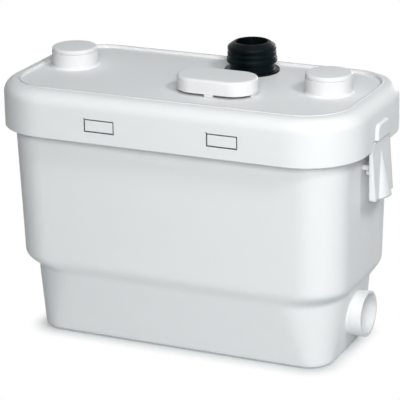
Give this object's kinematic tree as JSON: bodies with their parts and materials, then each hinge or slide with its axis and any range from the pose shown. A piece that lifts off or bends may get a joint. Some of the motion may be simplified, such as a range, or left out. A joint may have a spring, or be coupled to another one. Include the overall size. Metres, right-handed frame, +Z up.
{
  "type": "grey water pump",
  "caption": "White plastic box pump for waste water with a clipped lid, side inlet, capped top inlets, vent cover and rubber outlet sleeve.",
  "frame": {"origin": "centre of the base, on the floor plane", "axes": "+X along the length towards the side inlet, +Y to the back, +Z up"},
  "size_m": [0.4103, 0.21, 0.3064],
  "materials": {
    "white_plastic": "gloss",
    "rubber": "satin",
    "grey_plastic": "satin",
    "black_plastic": "satin",
    "filter_foam": "matte",
    "steel": "brushed",
    "motor_steel": "satin",
    "laminated_steel": "satin",
    "copper_wire": "satin",
    "capacitor_can": "satin"
  },
  "bodies": {
    "box": {"tank": "white_plastic", "lid": "white_plastic", "end_clip_pin": "steel", "lid_seal": "rubber", "outlet_sleeve": "rubber", "side_flap_pin": "steel", "pump_feet": "rubber", "strainer": "black_plastic", "volute_casing": "black_plastic", "volute_cover": "black_plastic", "shaft_seal": "rubber", "motor_can": "motor_steel", "lower_bearing": "steel", "upper_bearing": "steel", "stator": "laminated_steel", "windings": "copper_wire", "motor_top_cap": "black_plastic", "motor_dampers": "rubber", "discharge_pipe_lower": "grey_plastic", "non_return_valve_body": "grey_plastic", "non_return_flap_pin": "steel", "discharge_pipe_upper": "grey_plastic", "equipment_plate": "grey_plastic", "plate_screws": "steel", "pressure_bell": "grey_plastic", "level_membrane": "rubber", "switch_housing": "grey_plastic", "microswitch": "black_plastic", "terminal_box": "black_plastic", "terminal_cover": "black_plastic", "terminal_screws": "steel", "capacitor": "capacitor_can", "capacitor_clip": "steel", "cable_gland_body": "black_plastic", "cable_gland_nut": "black_plastic"},
    "rotor_set": {"motor_shaft": "steel", "rotor": "laminated_steel", "impeller": "black_plastic"},
    "clip": {"end_clip": "white_plastic"},
    "left_cap": {"left_top_cap": "white_plastic", "left_cap_seal": "rubber"},
    "right_cap": {"right_top_cap": "white_plastic", "right_cap_seal": "rubber"},
    "vent": {"vent_cover": "white_plastic", "carbon_filter": "filter_foam"},
    "outlet_flap": {"non_return_flap": "rubber"},
    "inlet_flap": {"side_inlet_flap": "grey_plastic"},
    "plunger": {"switch_plunger": "grey_plastic"}
  },
  "joints": [
    {"name": "rotor_spin", "type": "hinge", "parent": "box", "child": "rotor_set", "pos_m": [-0.04, 0.02, 0.1], "axis": [0, 0, 1], "continuous": true},
    {"name": "end_clip_swing", "type": "hinge", "parent": "box", "child": "clip", "pos_m": [0.1964, 0, 0.232], "axis": [0, -1, 0], "range_deg": [0, 25]},
    {"name": "left_cap_lift", "type": "slide", "parent": "box", "child": "left_cap", "axis": [0, 0, 1], "range_m": [0, 0.055]},
    {"name": "right_cap_lift", "type": "slide", "parent": "box", "child": "right_cap", "axis": [0, 0, 1], "range_m": [0, 0.055]},
    {"name": "vent_cover_lift", "type": "slide", "parent": "box", "child": "vent", "axis": [0, 0, 1], "range_m": [0, 0.03]},
    {"name": "outlet_flap_swing", "type": "hinge", "parent": "box", "child": "outlet_flap", "pos_m": [0.0212, 0.0575, 0.1625], "axis": [0, -1, 0], "range_deg": [0, 65]},
    {"name": "inlet_flap_swing", "type": "hinge", "parent": "box", "child": "inlet_flap", "pos_m": [0.1587, 0, 0.0716], "axis": [0, 1, 0], "range_deg": [0, 60]},
    {"name": "plunger_travel", "type": "slide", "parent": "box", "child": "plunger", "axis": [0, 0, 1], "range_m": [0, 0.0015], "stiffness_N_per_m": 200, "deforming": ["level_membrane"]}
  ]
}
